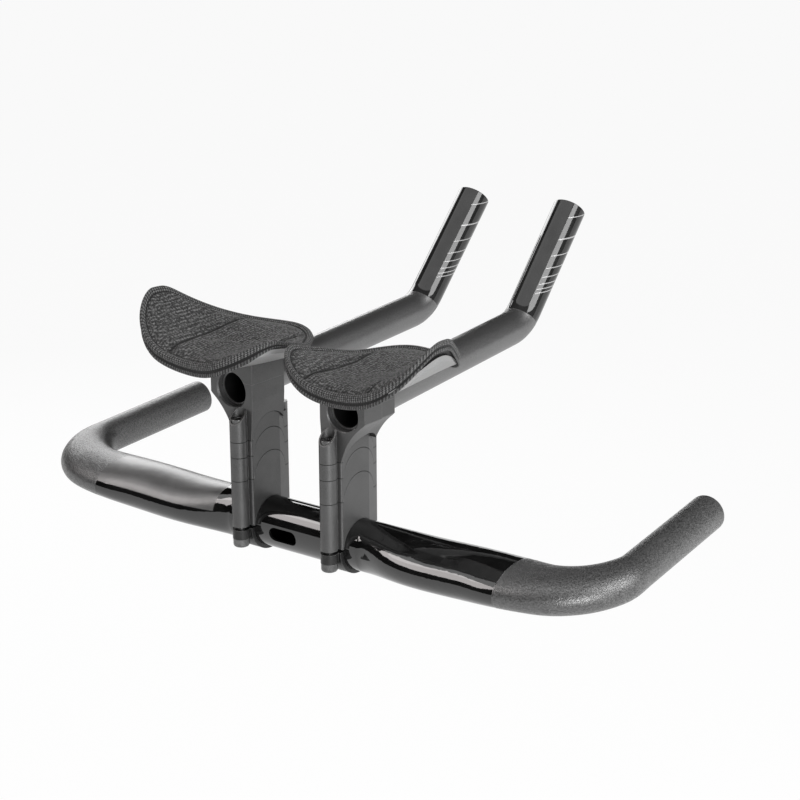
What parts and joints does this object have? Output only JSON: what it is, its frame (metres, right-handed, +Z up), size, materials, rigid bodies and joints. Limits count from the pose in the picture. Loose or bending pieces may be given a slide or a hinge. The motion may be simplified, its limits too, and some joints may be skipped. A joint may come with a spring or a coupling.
{
  "type": "time trial handlebar",
  "caption": "Bicycle time trial handlebar: a winged base bar with forward horns, and aero extensions with padded forearm rests on riser stacks.",
  "frame": {"origin": "middle of the base bar, on the axis of its round stem clamp zone", "axes": "+X to the rider's right along the bar, +Y forwards, +Z up"},
  "size_m": [0.4448, 0.2858, 0.193],
  "materials": {
    "carbon_lacquer": "gloss clear coat over black",
    "anodised_grey": "satin anodised",
    "extension_finish": "satin below the bend, gloss above it",
    "dark_steel": "black oxide",
    "cup_plastic": "satin",
    "pad_knit": "ribbed knit over foam",
    "hook_and_loop": "hook-and-loop tape"
  },
  "bodies": {
    "root": {"base_bar": "carbon_lacquer", "left_lower_clamp": "anodised_grey", "left_clamp_nuts": "dark_steel", "left_tall_spacer": "anodised_grey", "left_middle_spacer": "anodised_grey", "left_short_spacer": "anodised_grey", "left_clamp_head": "anodised_grey", "left_riser_bolts": "dark_steel", "left_extension": "extension_finish", "left_clamp_cap": "anodised_grey", "left_arm_cup": "cup_plastic", "left_cup_bolts": "dark_steel", "left_pad_patches": "hook_and_loop", "left_arm_pad": "pad_knit", "right_lower_clamp": "anodised_grey", "right_clamp_nuts": "dark_steel", "right_tall_spacer": "anodised_grey", "right_middle_spacer": "anodised_grey", "right_short_spacer": "anodised_grey", "right_clamp_head": "anodised_grey", "right_riser_bolts": "dark_steel", "right_extension": "extension_finish", "right_clamp_cap": "anodised_grey", "right_arm_cup": "cup_plastic", "right_cup_bolts": "dark_steel", "right_pad_patches": "hook_and_loop", "right_arm_pad": "pad_knit"}
  },
  "joints": []
}
